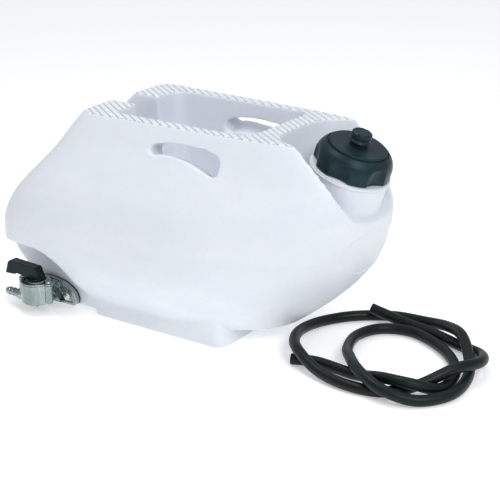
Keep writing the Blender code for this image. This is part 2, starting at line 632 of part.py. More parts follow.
def lever_screw():
    return finished(turned("lever_screw", ((0, 31), (1.4, 31), (1.4, 46.3), (3.2, 46.3), (3.2, 48.2),
                                           (0, 48.6)), TAP, 16), "steel")


def drain_fixings():
    frame = Matrix.Translation((TAP_X + DRAIN_X, TAP_Y, 0))
    washer = turned("drain_washer", ((DRAIN_R, 8.1), (4.4, 8.1), (4.4, BOSS_BOTTOM - GAP),
                                     (DRAIN_R, BOSS_BOTTOM - GAP)), frame, 16)
    screw = turned("drain_screw", ((0, 4.8), (3.4, 4.8), (4, 5.4), (4, 7.8), (DRAIN_R - GAP, 7.8),
                                   (DRAIN_R - GAP, 12), (0, 12)), frame, 16)
    finished(washer, "seal_rubber")
    finished(screw, "steel")


def inlet_strainer():
    """A slotted thimble pushed through the wall into the tap's inlet."""
    deep, rim = 52.0, FLANGE_BACK + 2.5
    tube = turned("inlet_strainer", ((0, deep), (3.4, deep), (3.4, rim), (2.4, rim), (2.4, deep + 1.2),
                                     (0, deep + 1.2)), at_tap(0, PORT_Z), 20)
    for start in (55.0, 60.0, 65.0):
        for turn in (0, math.pi / 2):
            across = at_tap(0, PORT_Z) @ Matrix.Translation((0, 0, start)) @ Matrix.Rotation(turn, 4, "Z")
            slot = stacked("slot", [[(x, y, z) for x, y in ((-1.2, -6), (1.2, -6), (1.2, 6), (-1.2, 6))]
                                    for z in (0, 2.6)], across)
            cut(tube, slot)
    return finished(tube, "strainer_plastic")


# ---- hose -----------------------------------------------------------------------------------------------------
def outlet_hose():
    """The loose hose that comes with the tank, lying on the ground."""
    curve = bpy.data.curves.new("outlet_hose", "CURVE")
    curve.dimensions = "3D"
    spline = curve.splines.new("POLY")
    points = [placed(point) for point in smooth_rows(HOSE_ROUTE, 2)]
    spline.points.add(len(points) - 1)
    for node, point in zip(spline.points, points):
        node.co = (*point, 1.0)
    curve.bevel_depth = HOSE_D / 2 * MM
    curve.bevel_resolution = 2
    curve.use_fill_caps = True
    curve.materials.append(finish_material("hose_rubber"))
    made = bpy.data.objects.new("outlet_hose", curve)
    bpy.context.scene.collection.objects.link(made)
    return made


def build():
    clear_scene()
    tank_shell()
    cap_shell()
    cap_gasket()
    vent_spigot()
    vent_needle()
    vent_o_ring()
    vent_knob()
    tap_body()
    flange_gasket()
    for side, word in ((-1, "rear"), (1, "front")):
        flange_fixings(side, word)
        retaining_screw(side, word)
    hose_barb()
    rotor_seal()
    valve_rotor()
    spring_washer()
    stem_o_ring()
    retaining_plate()
    tap_lever()
    lever_screw()
    drain_fixings()
    inlet_strainer()
    outlet_hose()


build()
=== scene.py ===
"""Looks of a portable moulded water tank: its fine skin, vented cap, lever tap and loose hose.

Lengths below are millimetres, measured from the middle of the filler's plane on the ground;
placed() turns them into the frame's metres.
"""
import json
import math

import bmesh
import bpy
import numpy as np
from mathutils import Matrix, Vector


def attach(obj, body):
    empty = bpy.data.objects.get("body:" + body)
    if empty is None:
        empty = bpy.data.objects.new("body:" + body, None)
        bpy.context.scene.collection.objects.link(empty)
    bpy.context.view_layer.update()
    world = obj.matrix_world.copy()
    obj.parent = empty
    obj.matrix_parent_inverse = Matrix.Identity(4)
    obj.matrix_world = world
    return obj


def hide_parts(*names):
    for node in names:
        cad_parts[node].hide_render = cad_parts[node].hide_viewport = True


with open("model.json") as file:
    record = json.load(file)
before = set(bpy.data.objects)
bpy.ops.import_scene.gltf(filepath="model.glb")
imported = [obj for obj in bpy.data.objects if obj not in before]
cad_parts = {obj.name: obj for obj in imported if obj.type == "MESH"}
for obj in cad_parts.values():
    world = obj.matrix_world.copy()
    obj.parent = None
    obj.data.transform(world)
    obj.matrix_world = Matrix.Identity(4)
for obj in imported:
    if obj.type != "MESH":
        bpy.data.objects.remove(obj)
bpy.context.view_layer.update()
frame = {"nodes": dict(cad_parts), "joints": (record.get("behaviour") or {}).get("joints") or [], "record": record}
JOINTS = {joint["name"]: joint for joint in frame["joints"]}

MM = 0.001
GAP = 0.3
NECK_ORIGIN = Vector((94.8, 0.0, 183.5))
NECK_TILT = math.acos(JOINTS["cap_turn"]["axis"][2])
ORIGIN = Vector(JOINTS["cap_turn"]["pos_m"]) - NECK_ORIGIN * MM     # this script's zero, in the frame
NECK = Matrix.Translation(NECK_ORIGIN) @ Matrix.Rotation(NECK_TILT, 4, "Y")
OUT_OF_WALL = Matrix.Rotation(math.pi / 2, 4, "X")     # local Z runs along -Y, local Y runs up

# ---- moulded tank ----------------------------------------------------------------------------------
WALL = 4.0
DECK_Z = 215.0
WIDEST_X = -90.0
# level: height, rear end x, front end x, half width, rear squareness, front squareness, front taper
# The ends, half widths and front squareness were made by a program that fitted them to the photo's
# outline; the rear of the five lowest rows and nine half widths were then changed.
LEVELS = (
    (17, -228, 46, 85, 6.0, 2.6, 0.00),
    (24, -242, 55, 90, 7.0, 2.5, 0.00),
    (36, -256, 70, 101, 8.0, 2.4, 0.00),
    (50, -269, 86, 110, 8.0, 2.2, 0.00),
    (65, -278, 101, 118, 7.0, 2.0, 0.00),
    (80, -282, 113, 121, 6.0, 2.0, 0.00),
    (95, -281, 123, 121, 6.0, 2.0, 0.00),
    (110, -275, 129, 119, 6.0, 2.0, 0.00),
    (125, -266, 130, 115, 6.0, 2.2, 0.01),
    (140, -253, 129, 108, 6.0, 2.5, 0.02),
    (155, -239, 125, 97, 6.5, 2.8, 0.03),
    (170, -225, 117, 88, 7.0, 3.3, 0.06),
    (185, -212, 105, 81, 8.0, 4.2, 0.09),
    (200, -199, 91, 77, 9.0, 5.7, 0.12),
    (215, -183, 77, 73, 12.0, 7.6, 0.14),
)
LEVEL_SPLITS, OUTLINE_POINTS = 5, 144
FOOT_HALF_WIDTH, FOOT_TOP_Z = 86.0, 32.0
FOOT_REAR_X, FOOT_FRONT_X = -165.0, 2.0
HEEL_REAR_X, HEEL_Z = -214.0, 6.0
WELL_REAR_X, WELL_FRONT_X, WELL_HALF_WIDTH, WELL_FLOOR_Z = -151.0, 12.0, 54.0, 118.0
SLOT_HALF_WIDTH, SLOT_FLOOR_Z = 18.0, 150.0
HAND_HOLE = ((-91, 193), (-85, 198), (-60, 201), (-24, 200), (-10, 195), (-8, 186), (-12, 177),
             (-44, 187), (-72, 190), (-86, 188))
HAND_HOLE_TOP = 200.0   # towards the well a hole runs down and grows taller below this height
RAIL_CORE = ((-98, 179), (-2, 167), (-2, 240), (-98, 240))
TAP_WALL_Y = -86.0
TAP_ARCH = ((-300, -30), (-300, 70), (-250, 70), (-216, 70), (-199, 66), (-187, 58), (-179, 48),
            (-172, 37), (-166, 26), (-162, 14), (-160, -30))
TRIM = 0.5
OVAL_Z, OVAL_HALF_Y, OVAL_HALF_Z = 108.5, 46.0, 26.0
OVAL_DEPTH, OVAL_RIM, OVAL_MIN_X = 1.1, 0.3, 90.0
SKIN_VOXEL, CAVITY_VOXEL = 1.6, 5.0
TREAD_LENGTH, TREAD_WIDTH, TREAD_DEPTH = 11.0, 8.0, 1.0      # one lozenge of the deck's pattern
PAD_EDGE, PAD_SLOPE = 0.31, 0.12

# ---- filler neck and cap, along the neck from its collar -------------------------------------------
COLLAR_R, COLLAR_T, SHOULDER_R, NECK_R, NECK_BORE_R, NECK_TOP = 40.5, 3.0, 38.5, 30.5, 26.0, 17.0
SCOOP_FLOOR, SCOOP_TOP = -31.0, 80.0
CAP_R, CAP_BORE_R, CAP_BOTTOM, CAP_CEILING, CAP_TOP, CAP_DISC_R = 38.5, 33.0, 1.0, 20.5, 26.0, 29.5
SCALLOPS, SCALLOP_FIRST = 6, math.radians(-80.0)
SCALLOP_R, SCALLOP_OFFSET, SCALLOP_TOP, SCALLOP_ARCH = 25.0, 59.5, 20.0, 11.0
VENT_STEM_R = 6.0
KNOB_R, KNOB_BOTTOM, KNOB_TOP = 10.0, 30.6, 40.0

# ---- tap, from the ground --------------------------------------------------------------------------
TAP_X, TAP_Y = -217.0, -114.0
CUP_R, CUP_BORE_R, CUP_BOTTOM, CUP_FLOOR, CUP_TOP = 16.0, 12.3, 12.0, 20.0, 34.0
EAR_OFFSET, EAR_R = 17.5, 4.5
FLANGE_T, FLANGE_HALF_LENGTH, FLANGE_LOW, FLANGE_HIGH, FLANGE_WAIST = 5.0, 37.0, 7.0, 33.0, 13.0
BOLT_OFFSET, BOLT_Z, BOLT_R, BOLT_HEAD_R = 26.0, 17.0, 2.2, 4.2
INSERT_R, INSERT_LENGTH = 4.2, 9.0
PORT_Z, PORT_R = 21.0, 5.0
BARB_Z, BARB_R, BARB_BORE_R = 15.5, 4.6, 2.4
PLATE_T = 1.6
GASKET_T = 1.2
FLANGE_BACK = -TAP_WALL_Y + 3 * GAP + GASKET_T
FLANGE_FRONT = FLANGE_BACK + FLANGE_T
TAP = Matrix.Translation((TAP_X, TAP_Y, 0))

# ---- hose ------------------------------------------------------------------------------------------
HOSE_D = 11.0
# The route's points were made by a program that relaxed a route that was first listed one by one.
HOSE_ROUTE = ((90, 57.5, 17), (126.5, 64, 7.2), (158.5, 59, 6.2), (195.5, 46.5, 6.2), (227.5, 31, 9.7),
              (242, -2.5, 18), (230.5, -33.5, 20), (209, -62.5, 9.2), (188, -86.5, 6.2), (154, -94.5, 6.2),
              (116.5, -88.5, 8.7), (83.5, -74, 18), (62.5, -45.5, 15.4), (51, -9.5, 9.7), (54.5, 25, 6.2),
              (75.5, 54, 6.2), (107.5, 74.5, 6.2), (142, 79, 6.7), (174.5, 64.5, 14.4), (201.5, 41.5, 19.5),
              (224.5, 11.5, 11.2), (238.5, -21.5, 6.7), (240, -59, 6.2), (219.5, -87.5, 6.2),
              (189, -98, 13.8), (159.5, -87, 20), (132.5, -58.5, 17), (113.5, -29.5, 10.7), (102, 8, 7.2),
              (112, 38, 6.2), (141.5, 49, 6.2), (177, 35.5, 6.2), (205.5, 12.5, 6.2), (224, -18, 6.2),
              (227.5, -56, 7.7), (208, -79.5, 17.4), (178.5, -79, 15.3), (145, -70, 6.2),
              (102.5, -66.5, 6.2), (76.5, -74.5, 6.2))
HOSE_SPLITS = 8


# ---- general tools ---------------------------------------------------------------------------------
def placed(point, matrix=None):
    """A millimetre point in its own frame, as metres in the model's frame."""
    local = Vector(point) if matrix is None else matrix @ Vector(point)
    return ORIGIN + local * MM


def solid(name, bm):
    bmesh.ops.recalc_face_normals(bm, faces=bm.faces)
    mesh = bpy.data.meshes.new(name)
    bm.to_mesh(mesh)
    bm.free()
    made = bpy.data.objects.new(name, mesh)
    bpy.context.scene.collection.objects.link(made)
    return made


def stacked(name, rings, matrix=None):
    """A closed solid through rings of equal length, its first and last ring filled."""
    bm = bmesh.new()
    rows = [[bm.verts.new(placed(point, matrix)) for point in ring] for ring in rings]
    for low, high in zip(rows, rows[1:]):
        for i in range(len(low)):
            j = (i + 1) % len(low)
            bm.faces.new((low[i], low[j], high[j], high[i]))
    bm.faces.new(rows[0])
    bm.faces.new(rows[-1])
    return solid(name, bm)


def prism(name, outline, low, high, matrix=None):
    return stacked(name, [[(x, y, z) for x, y in outline] for z in (low, high)], matrix)


def turned(name, profile, matrix=None, sides=64):
    """A profile of (radius, height) turned about local Z; it is a loop, or runs from axis to axis."""
    bm = bmesh.new()
    rows = []
    for radius, height in profile:
        count = 1 if radius == 0 else sides
        angles = [2 * math.pi * i / sides for i in range(count)]
        rows.append([bm.verts.new(placed((radius * math.cos(a), radius * math.sin(a), height), matrix))
                     for a in angles])
    pairs = list(zip(rows, rows[1:]))
    if profile[0][0] != 0:
        pairs.append((rows[-1], rows[0]))
    for first, second in pairs:
        for i in range(sides):
            j = (i + 1) % sides
            corners = [first[i % len(first)], first[j % len(first)],
                       second[j % len(second)], second[i % len(second)]]
            bm.faces.new(list(dict.fromkeys(corners)))
    return solid(name, bm)


def cylinder(name, radius, low, high, matrix=None, sides=64):
    return turned(name, ((0, low), (radius, low), (radius, high), (0, high)), matrix, sides)


def box(name, low, high, matrix=None):
    outline = ((low[0], low[1]), (high[0], low[1]), (high[0], high[1]), (low[0], high[1]))
    return prism(name, outline, low[2], high[2], matrix)


def baked(thing):
    """Replace an object's mesh with its evaluated one and drop its modifiers."""
    bpy.context.view_layer.update()
    seen = thing.evaluated_get(bpy.context.evaluated_depsgraph_get())
    mesh = bpy.data.meshes.new_from_object(seen)
    thing.modifiers.clear()
    thing.data = mesh
    return thing


def combined(base, tool, operation, solver="EXACT"):
    step = base.modifiers.new(operation.lower(), "BOOLEAN")
    step.operation = operation
    step.solver = solver
    step.object = tool
    baked(base)
    bpy.data.objects.remove(tool, do_unlink=True)
    return base


def cut(base, *tools, solver="EXACT"):
    for tool in tools:
        combined(base, tool, "DIFFERENCE", solver)
    return base


def joined(base, *tools, solver="EXACT"):
    for tool in tools:
        combined(base, tool, "UNION", solver)
    return base


def blend(before, start, end, after, share):
    """A smooth value between start and end, steered by their neighbours."""
    a = 2 * start
    b = end - before
    c = 2 * before - 5 * start + 4 * end - after
    d = after - before + 3 * (start - end)
    return 0.5 * (a + b * share + c * share ** 2 + d * share ** 3)


def smooth_rows(rows, splits, closed=False):
    """Rows of numbers with splits blended rows to each step."""
    count = len(rows)
    made = []
    for i in range(count if closed else count - 1):
        around = [rows[(i + k) % count] if closed else rows[min(max(i + k, 0), count - 1)]
                  for k in (-1, 0, 1, 2)]
        for step in range(splits):
            made.append(tuple(blend(*values, step / splits) for values in zip(*around)))
    if not closed:
        made.append(tuple(float(value) for value in rows[-1]))
    return made


def rounded_box(low, high, radius, corner_points=10):
    """A rectangle with round corners in XY, anticlockwise."""
    outline = []
    middles = ((high[0], high[1]), (low[0], high[1]), (low[0], low[1]), (high[0], low[1]))
    for corner, (x, y) in enumerate(middles):
        centre_x = x - math.copysign(radius, x - (low[0] + high[0]) / 2)
        centre_y = y - math.copysign(radius, y - (low[1] + high[1]) / 2)
        for step in range(corner_points):
            angle = math.pi / 2 * (corner + step / (corner_points - 1))
            outline.append((centre_x + radius * math.cos(angle), centre_y + radius * math.sin(angle)))
    return outline


def squared_round(half_x, half_y, squareness, points):
    """A rounded outline between an ellipse and a rectangle."""
    outline = []
    for i in range(points):
        angle = 2 * math.pi * i / points
        c, s = math.cos(angle), math.sin(angle)
        outline.append((math.copysign(half_x * abs(c) ** (2 / squareness), c),
                        math.copysign(half_y * abs(s) ** (2 / squareness), s)))
    return outline


def grown(outline, distance):
    """A clockwise outline moved outwards by distance."""
    moved = []
    for i, (x, y) in enumerate(outline):
        before, after = outline[i - 1], outline[(i + 1) % len(outline)]
        along = Vector((after[0] - before[0], after[1] - before[1])).normalized()
        moved.append((x - along.y * distance, y + along.x * distance))
    return moved


def reskinned(form, voxel, passes):
    """Rebuild a form's surface in even small faces, with its edges rounded by smoothing."""
    skin = form.modifiers.new("skin", "REMESH")
    skin.mode = "VOXEL"
    skin.voxel_size = voxel * MM
    soften = form.modifiers.new("soften", "SMOOTH")
    soften.factor = 0.5
    soften.iterations = passes
    return baked(form)


def finished(piece, body, material, nodes, crease=35.0):
    """Shade a piece, give it its material and body, and let it stand for its CAD nodes."""
    piece.data.materials.clear()
    piece.data.materials.append(material)
    piece.data.shade_smooth()
    piece.data.set_sharp_from_angle(angle=math.radians(crease))
    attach(piece, body)
    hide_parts(*nodes)
    return piece


# ---- materials -------------------------------------------------------------------------------------
class Finish:
    """A Principled material whose colour, roughness and bump come from layered noise."""

    def __init__(self, name, roughness, metallic=0.0):
        self.material = bpy.data.materials.new(name)
        self.material.use_nodes = True
        self.tree = self.material.node_tree
        self.shader = self.tree.nodes["Principled BSDF"]
        self.shader.inputs["Metallic"].default_value = metallic
        self.shader.inputs["Roughness"].default_value = roughness
        self.place = self.tree.nodes.new("ShaderNodeTexCoord").outputs["Object"]
        self.height = None

    def node(self, kind, **values):
        made = self.tree.nodes.new(kind)
        for name, value in values.items():
            setattr(made, name, value)
        return made

    def link(self, start, end):
        self.tree.links.new(start, end)

    def noise(self, per_metre, detail=4.0, stretch=(1, 1, 1), roughness=0.55):
        spread = self.node("ShaderNodeMapping")
        spread.inputs["Scale"].default_value = stretch
        self.link(self.place, spread.inputs["Vector"])
        made = self.node("ShaderNodeTexNoise")
        made.inputs["Scale"].default_value = per_metre
        made.inputs["Detail"].default_value = detail
        made.inputs["Roughness"].default_value = roughness
        self.link(spread.outputs["Vector"], made.inputs["Vector"])
        return made.outputs["Fac"]

    def ramp(self, source, low, high, low_value, high_value):
        """Map a value smoothly from the range low..high to low_value..high_value."""
        made = self.node("ShaderNodeMapRange", interpolation_type="SMOOTHSTEP")
        for socket, value in zip(("From Min", "From Max", "To Min", "To Max"),
                                 (low, high, low_value, high_value)):
            made.inputs[socket].default_value = value
        self.link(source, made.inputs["Value"])
        return made.outputs["Result"]

    def mixed(self, share, first, second):
        """A colour between two; each is a colour or the output of another mix."""
        made = self.node("ShaderNodeMix", data_type="RGBA")
        self.link(share, made.inputs["Factor"])
        for socket, value in ((made.inputs[6], first), (made.inputs[7], second)):
            if isinstance(value, tuple):
                socket.default_value = (*value, 1.0)
            else:
                self.link(value, socket)
        return made.outputs[2]

    def maths(self, operation, first, second=0.0):
        made = self.node("ShaderNodeMath", operation=operation)
        for socket, value in zip(made.inputs, (first, second)):
            if isinstance(value, float):
                socket.default_value = value
            else:
                self.link(value, socket)
        return made.outputs[0]

    def grooves(self):
        """How far a spot lies in the deck's grooves, as a share; it masks the painted shade in the grooves."""
        split = self.node("ShaderNodeSeparateXYZ")
        self.link(self.place, split.inputs[0])
        along = self.maths("DIVIDE", self.maths("SUBTRACT", split.outputs[0], ORIGIN.x), TREAD_LENGTH * MM)
        across = self.maths("DIVIDE", self.maths("SUBTRACT", split.outputs[1], ORIGIN.y), TREAD_WIDTH * MM)
        edges = [self.maths("ABSOLUTE", self.maths("SUBTRACT", self.maths("FLOORED_MODULO",
                 self.maths(way, along, across), 1.0), 0.5)) for way in ("ADD", "SUBTRACT")]
        groove = self.ramp(self.maths("MAXIMUM", *edges), PAD_EDGE, PAD_EDGE + PAD_SLOPE, 0.0, 1.0)
        deck = self.ramp(split.outputs[2], (DECK_Z - 1.6) * MM, (DECK_Z - 1.1) * MM, 0.0, 1.0)
        return self.maths("MULTIPLY", groove, deck)

    def colour(self, output):
        self.link(output, self.shader.inputs["Base Color"])

    def rough(self, source, low_value, high_value):
        self.link(self.ramp(source, 0.3, 0.7, low_value, high_value), self.shader.inputs["Roughness"])

    def bump(self, source, distance_mm, strength=1.0):
        """Add a layer of relief; later layers ride on the earlier ones."""
        made = self.node("ShaderNodeBump")
        made.inputs["Distance"].default_value = distance_mm * MM
        made.inputs["Strength"].default_value = strength
        self.link(source, made.inputs["Height"])
        if self.height is not None:
            self.link(self.height, made.inputs["Normal"])
        self.height = made.outputs["Normal"]
        self.link(self.height, self.shader.inputs["Normal"])


def tank_plastic():
    """Natural polyethylene: white, a little translucent, with faint flow clouds, a fine satin grain and painted
    shade darkening the deck's grooves.
    """
    made = Finish("tank_plastic", 0.4)
    clouds = made.noise(9, 3.0, (1, 1, 2.2))
    mottle = made.noise(240, 3.0)
    base = made.mixed(made.ramp(clouds, 0.35, 0.7, 0.0, 1.0), (0.735, 0.77, 0.825), (0.78, 0.81, 0.86))
    base = made.mixed(made.ramp(mottle, 0.4, 0.75, 0.0, 0.25), base, (0.68, 0.72, 0.785))
    # painted shade: the deck's grooves are darkened towards grey blue, standing in for the shade that falls inside
    # them
    made.colour(made.mixed(made.maths("MULTIPLY", made.grooves(), 0.75), base, (0.40, 0.425, 0.47)))
    made.rough(made.noise(60, 4.0), 0.36, 0.47)
    made.bump(made.noise(1500, 2.0), 0.05, 0.5)
    made.bump(made.noise(110, 2.0), 0.25, 0.25)
    made.shader.inputs["Subsurface Weight"].default_value = 0.3
    made.shader.inputs["Subsurface Radius"].default_value = (1.0, 1.05, 1.15)
    made.shader.inputs["Subsurface Scale"].default_value = 0.004
    made.shader.inputs["IOR"].default_value = 1.5
    return made.material


def moulded(name, dark, light, roughness, grain=0.06):
    """Dark moulded plastic with a fine grain, rubbed patches and a few faint scratches."""
    made = Finish(name, sum(roughness) / 2)
    rubbed = made.noise(45, 5.0)
    scratch = made.noise(320, 2.0, (0.25, 5.0, 5.0))
    base = made.mixed(made.ramp(rubbed, 0.42, 0.68, 0.0, 1.0), dark, light)
    made.colour(made.mixed(made.ramp(scratch, 0.66, 0.74, 0.0, 0.35), base, tuple(2.2 * c for c in light)))
    made.rough(rubbed, *roughness)
    made.bump(made.noise(2600, 2.0), grain, 0.6)
    made.bump(scratch, 0.03, 0.4)
    made.shader.inputs["Specular IOR Level"].default_value = 0.28
    made.shader.inputs["Specular Tint"].default_value = (0.65, 0.90, 1.0, 1.0)
    return made.material


def metal(name, dark, light, roughness, grain=0.05, brushed=(1, 1, 1), per_metre=900):
    """Metal with cloudy tarnish and a cast or brushed grain."""
    made = Finish(name, sum(roughness) / 2, 1.0)
    tarnish = made.noise(70, 3.0, (1, 1, 0.3))
    made.colour(made.mixed(made.ramp(tarnish, 0.38, 0.66, 0.0, 1.0), dark, light))
    made.rough(made.noise(300, 4.0), *roughness)
    made.bump(made.noise(per_metre, 3.0, brushed), grain, 0.7)
    return made.material


def rubber(name, dark, light, roughness, grain=0.08):
    """Black rubber with a pale dusty bloom in patches and a fine extruded grain."""
    made = Finish(name, sum(roughness) / 2)
    bloom = made.noise(28, 6.0)
    dust = made.noise(700, 3.0)
    base = made.mixed(made.ramp(bloom, 0.4, 0.7, 0.0, 1.0), dark, light)
    made.colour(made.mixed(made.ramp(dust, 0.62, 0.8, 0.0, 0.3), base, tuple(1.6 * c for c in light)))
    made.rough(bloom, *roughness)
    made.bump(made.noise(1800, 2.0), grain, 0.5)
    made.shader.inputs["Specular IOR Level"].default_value = 0.25
    return made.material


TANK = tank_plastic()
CAP_PLASTIC = moulded("cap_plastic", (0.006, 0.017, 0.022), (0.010, 0.027, 0.033), (0.32, 0.44))
LEVER_PLASTIC = moulded("lever_plastic", (0.001, 0.0035, 0.0035), (0.003, 0.008, 0.008), (0.34, 0.48))
CAST = metal("tap_metal", (0.24, 0.29, 0.29), (0.42, 0.47, 0.47), (0.20, 0.30), 0.03, (6, 6, 0.4))
STEEL = metal("steel", (0.42, 0.43, 0.42), (0.66, 0.66, 0.63), (0.22, 0.36), 0.03, (1, 1, 12))
BRASS = metal("brass", (0.50, 0.35, 0.15), (0.72, 0.53, 0.25), (0.26, 0.40), 0.04)
SEAL = rubber("seal_rubber", (0.030, 0.036, 0.036), (0.050, 0.056, 0.056), (0.60, 0.80))
STRAINER = moulded("strainer_plastic", (0.70, 0.70, 0.63), (0.80, 0.80, 0.74), (0.40, 0.50))
HOSE = rubber("hose_rubber", (0.0015, 0.006, 0.0055), (0.004, 0.011, 0.010), (0.34, 0.48))
SLOT_MATERIALS = {"tank_plastic": TANK, "cap_plastic": CAP_PLASTIC, "lever_plastic": LEVER_PLASTIC,
                  "tap_metal": CAST, "steel": STEEL, "brass": BRASS, "seal_rubber": SEAL,
                  "strainer_plastic": STRAINER, "hose_rubber": HOSE}


CAMERA_LENS, CAMERA_SENSOR = 103.68, 36.0
CAMERA_PLACE = (0.8316, -1.1435, 0.5919)
CAMERA_TILT, CAMERA_TURN = 69.6, 34.3


# ---- camera and hose -------------------------------------------------------------------------------
def camera():
    data = bpy.data.cameras.new("camera")
    data.lens, data.sensor_width = CAMERA_LENS, CAMERA_SENSOR
    data.clip_start, data.clip_end = 0.05, 20.0
    made = bpy.data.objects.new("camera", data)
    made.location = CAMERA_PLACE
    made.rotation_euler = (math.radians(CAMERA_TILT), 0.0, math.radians(CAMERA_TURN))
    bpy.context.scene.collection.objects.link(made)
    bpy.context.scene.camera = made


def hose():
    """The loose hose, plain cut at both ends; the ends are filled and show no bore."""
    points = [placed(point) for point in smooth_rows(HOSE_ROUTE, HOSE_SPLITS)]
    curve = bpy.data.curves.new("hose", "CURVE")
    curve.dimensions = "3D"
    spline = curve.splines.new("POLY")
    spline.points.add(len(points) - 1)
    for node, point in zip(spline.points, points):
        node.co = (*point, 1.0)
    curve.bevel_depth = HOSE_D / 2 * MM
    curve.bevel_resolution = 10
    curve.use_fill_caps = True
    curve.materials.append(HOSE)
    made = bpy.data.objects.new("hose", curve)
    bpy.context.scene.collection.objects.link(made)
    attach(made, "tank")
    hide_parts("outlet_hose")


camera()
hose()


# ---- moulded tank ----------------------------------------------------------------------------------
def body_ring(level, inset):
    """One level of the body, pulled in by inset."""
    height, rear, front, half_width, rear_square, front_square, taper = level
    bottom = LEVELS[0][0]
    share = (height - bottom) / (DECK_Z - bottom)
    height = bottom + inset + share * (DECK_Z + TRIM - bottom - 2 * inset)
    rear, front, half_width = rear + inset, front - inset, half_width - inset
    ring = []
    for i in range(OUTLINE_POINTS):
        angle = 2 * math.pi * i / OUTLINE_POINTS
        c, s = math.cos(angle), math.sin(angle)
        length, square = (front - WIDEST_X, front_square) if c > 0 else (WIDEST_X - rear, rear_square)
        x = WIDEST_X + math.copysign(length * abs(c) ** (2 / square), c)
        y = math.copysign(half_width * abs(s) ** (2 / square), s)
        ring.append((x, y * (1 - taper * (x - rear) / (front - rear)), height))
    return ring


def base_block(inset):
    """The foot and, behind it, the slightly raised heel."""
    wide = FOOT_HALF_WIDTH - inset
    top = FOOT_TOP_Z + inset
    foot = prism("foot", rounded_box((FOOT_REAR_X + inset, -wide), (FOOT_FRONT_X - inset, wide), 12),
                 inset - TRIM, top)
    heel = prism("heel", rounded_box((HEEL_REAR_X + inset, -wide), (FOOT_REAR_X + 40, wide), 8),
                 HEEL_Z + inset, top)
    return joined(foot, heel)


def storage_well(grow):
    """The open well, narrowing slightly towards its floor, and the slot that leads out of its rear."""
    rings = []
    for height, draft in ((WELL_FLOOR_Z - grow, -3.0), (DECK_Z + 45, 3.0)):
        edge = grow + draft
        outline = rounded_box((WELL_REAR_X - edge, -WELL_HALF_WIDTH - edge),
                              (WELL_FRONT_X + edge, WELL_HALF_WIDTH + edge), 14)
        rings.append([(x, y, height) for x, y in outline])
    well = stacked("well", rings)
    half = SLOT_HALF_WIDTH + grow
    slot = box("slot", (WELL_REAR_X - 90, -half, SLOT_FLOOR_Z - grow), (WELL_REAR_X + 20, half, DECK_Z + 40))
    return joined(well, slot)


def filler_scoop(grow):
    """The hollow that the filler neck stands in, wider towards the deck."""
    rings = []
    for height, half_x, half_y in ((SCOOP_FLOOR - grow, 46, 42), (SCOOP_TOP, 104, 75)):
        rings.append([(x, y, height) for x, y in squared_round(half_x + grow, half_y + grow, 3.5, 96)])
    return stacked("scoop", rings, NECK)


def tap_recess(grow):
    """The recess under the rear corner whose back wall carries the tap; its roof slopes down inwards."""
    wall = -TAP_WALL_Y - grow
    rings = []
    for depth, outward, rise in ((wall, -2, -8), (wall + 30, 2, 3), (180, 2, 3)):
        rings.append([(x + outward, z + rise, depth) for x, z in grown(TAP_ARCH, grow)])
    return stacked("recess", rings, OUT_OF_WALL)


def hand_holes(outline):
    """One hole through each side rail, lower and taller at the well than outside."""
    inner = [(x, HAND_HOLE_TOP - 5 + 1.6 * (z - HAND_HOLE_TOP)) for x, z in outline]
    holes = []
    for side in (-1, 1):
        rings = [[(x, z, side * depth) for x, z in row]
                 for row, depth in ((inner, 44), (inner, 53), (outline, 81), (outline, 140))]
        holes.append(stacked("hand_hole", rings, OUT_OF_WALL))
    return holes


def rail_cores():
    """What stays solid of each side rail, around its hand hole."""
    return [prism("rail_core", RAIL_CORE, low, high, OUT_OF_WALL) for low, high in ((-140, -46), (46, 140))]


def body_form(inset):
    form = stacked("tank", [body_ring(level, inset) for level in smooth_rows(LEVELS, LEVEL_SPLITS)])
    joined(form, base_block(inset))
    cut(form, storage_well(inset), filler_scoop(inset), tap_recess(inset))
    joined(form, cylinder("shoulder", SHOULDER_R - inset, -60, -COLLAR_T - 2 * inset, NECK, 96))
    return form


def coordinates(mesh):
    values = np.empty(len(mesh.vertices) * 3, np.float32)
    mesh.vertices.foreach_get("co", values)
    return (values.reshape(-1, 3).astype(float) - np.array(ORIGIN)) / MM


def set_coordinates(mesh, values):
    moved = (values * MM + np.array(ORIGIN)).astype(np.float32)
    mesh.vertices.foreach_set("co", moved.ravel())
    mesh.update()


def smoothstep(values, low, high):
    share = np.clip((values - low) / (high - low), 0, 1)
    return share * share * (3 - 2 * share)


def dent_oval(points):
    """Sink the plain oval panel on the nose a little, behind a soft rim."""
    reach = np.hypot(points[:, 1] / OVAL_HALF_Y, (points[:, 2] - OVAL_Z) / OVAL_HALF_Z)
    ahead = points[:, 0] > OVAL_MIN_X
    points[:, 0] -= ahead * OVAL_DEPTH * (1 - smoothstep(reach, 0.955, 1.0))
    points[:, 0] += ahead * OVAL_RIM * np.exp(-((reach - 1.03) / 0.035) ** 2)


def refine_deck(tank, cuts=2):
    """Split the deck's faces, so that they can carry the tread."""
    bm = bmesh.new()
    bm.from_mesh(tank.data)
    lowest = placed((0, 0, DECK_Z - 1.2)).z
    edges = {edge for face in bm.faces if face.normal.z > 0.9 and face.calc_center_median().z > lowest
             for edge in face.edges}
    bmesh.ops.subdivide_edges(bm, edges=list(edges), cuts=cuts, use_grid_fill=True)
    bm.to_mesh(tank.data)
    bm.free()


def emboss_tread(tank):
    """Press lozenge-shaped pads into the deck, between grooves that cross at a slant."""
    points = coordinates(tank.data)
    across = points[:, 1] / TREAD_WIDTH
    along = points[:, 0] / TREAD_LENGTH
    edge = np.maximum(np.abs((along + across) % 1 - 0.5), np.abs((along - across) % 1 - 0.5))
    pad = 1 - smoothstep(edge, PAD_EDGE, PAD_EDGE + PAD_SLOPE)
    on_deck = smoothstep(points[:, 2], DECK_Z - 0.7, DECK_Z - 0.2)
    points[:, 2] += on_deck * TREAD_DEPTH * (pad - 1)
    set_coordinates(tank.data, points)


